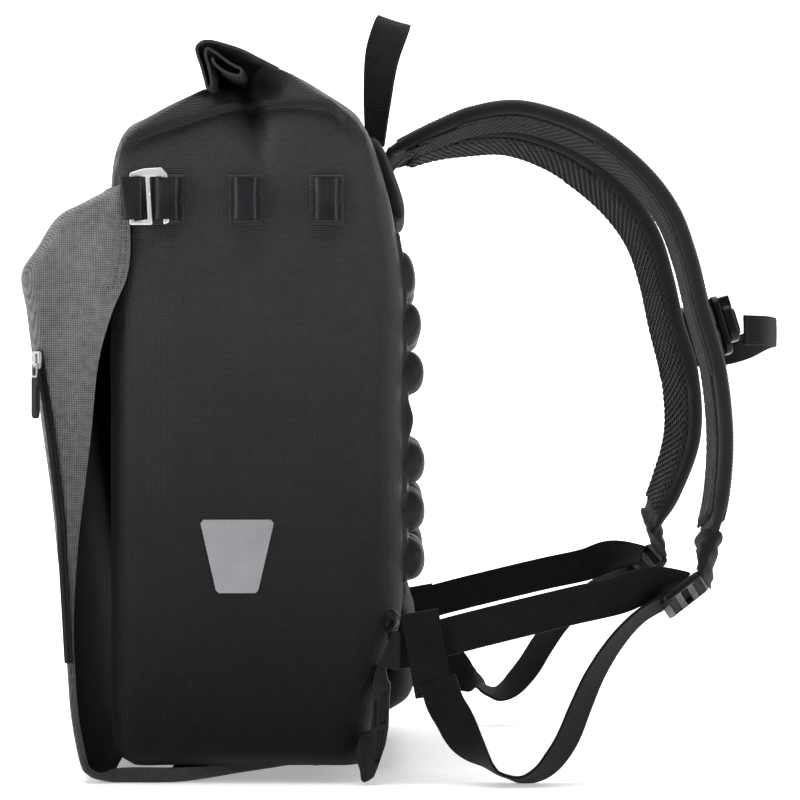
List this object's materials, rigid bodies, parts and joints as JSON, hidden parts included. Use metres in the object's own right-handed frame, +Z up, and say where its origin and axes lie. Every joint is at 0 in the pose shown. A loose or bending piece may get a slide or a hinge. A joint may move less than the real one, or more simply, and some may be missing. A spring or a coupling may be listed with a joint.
{
  "type": "roll-top bicycle backpack",
  "caption": "Roll-top backpack for cyclists with a hooked front cover, padded shoulder straps, chest strap and a domed back panel.",
  "frame": {"origin": "middle of the flat strip under the front cover, on the floor it stands on", "axes": "+Z up, +X from the front cover towards the wearer's back, Y across the pack"},
  "size_m": [0.517, 0.325, 0.5294],
  "materials": {
    "coated_fabric": "black coated twill, slight sheen",
    "cover_fabric": "dark grey coated twill, slight sheen",
    "padded_fabric": "black plain weave over foam, matt",
    "air_mesh": "black spacer mesh, matt",
    "webbing": "black ribbed nylon webbing, soft sheen",
    "back_panel_skin": "black moulded foam skin",
    "moulded_plastic": "black moulded acetal, fine grain",
    "zip_coil": "black coil zip",
    "bright_aluminium": "polished",
    "reflective_film": "grey reflective film"
  },
  "bodies": {
    "root": {"bag_shell": "coated_fabric", "roll_closure": "coated_fabric", "front_cover": "cover_fabric", "zip_tape": "zip_coil", "zip_slider": "bright_aluminium", "zip_pull": "moulded_plastic", "back_panel": "back_panel_skin", "strap_yoke": "padded_fabric", "lumbar_pad": "coated_fabric", "haul_loop": "webbing", "chest_webbing": "webbing", "chest_buckle": "moulded_plastic", "cover_loop_near": "webbing", "cover_loop_far": "webbing", "cover_hook_near": "bright_aluminium", "cover_hook_far": "bright_aluminium", "side_loop_1_near": "webbing", "side_loop_1_far": "webbing", "side_loop_2_near": "webbing", "side_loop_2_far": "webbing", "side_loop_3_near": "webbing", "side_loop_3_far": "webbing", "loop_patch_1_near": "coated_fabric", "loop_patch_1_far": "coated_fabric", "loop_patch_2_near": "coated_fabric", "loop_patch_2_far": "coated_fabric", "loop_patch_3_near": "coated_fabric", "loop_patch_3_far": "coated_fabric", "reflector_near": "reflective_film", "reflector_far": "reflective_film", "shoulder_strap_near": "padded_fabric", "shoulder_strap_far": "padded_fabric", "strap_mesh_near": "air_mesh", "strap_mesh_far": "air_mesh", "strap_rail_near": "webbing", "strap_rail_far": "webbing", "strap_end_near": "padded_fabric", "strap_end_far": "padded_fabric", "lower_webbing_near": "webbing", "lower_webbing_far": "webbing", "tail_webbing_near": "webbing", "tail_webbing_far": "webbing", "chest_slider_near": "moulded_plastic", "chest_slider_far": "moulded_plastic", "ladder_lock_near": "moulded_plastic", "ladder_lock_far": "moulded_plastic", "webbing_keeper_near": "webbing", "webbing_keeper_far": "webbing", "corner_anchor_near": "webbing", "corner_anchor_far": "webbing", "anchor_cap_near": "moulded_plastic", "anchor_cap_far": "moulded_plastic", "rear_clip_near": "moulded_plastic", "rear_clip_far": "moulded_plastic", "base_knob_near": "moulded_plastic", "base_knob_far": "moulded_plastic"}
  },
  "joints": []
}
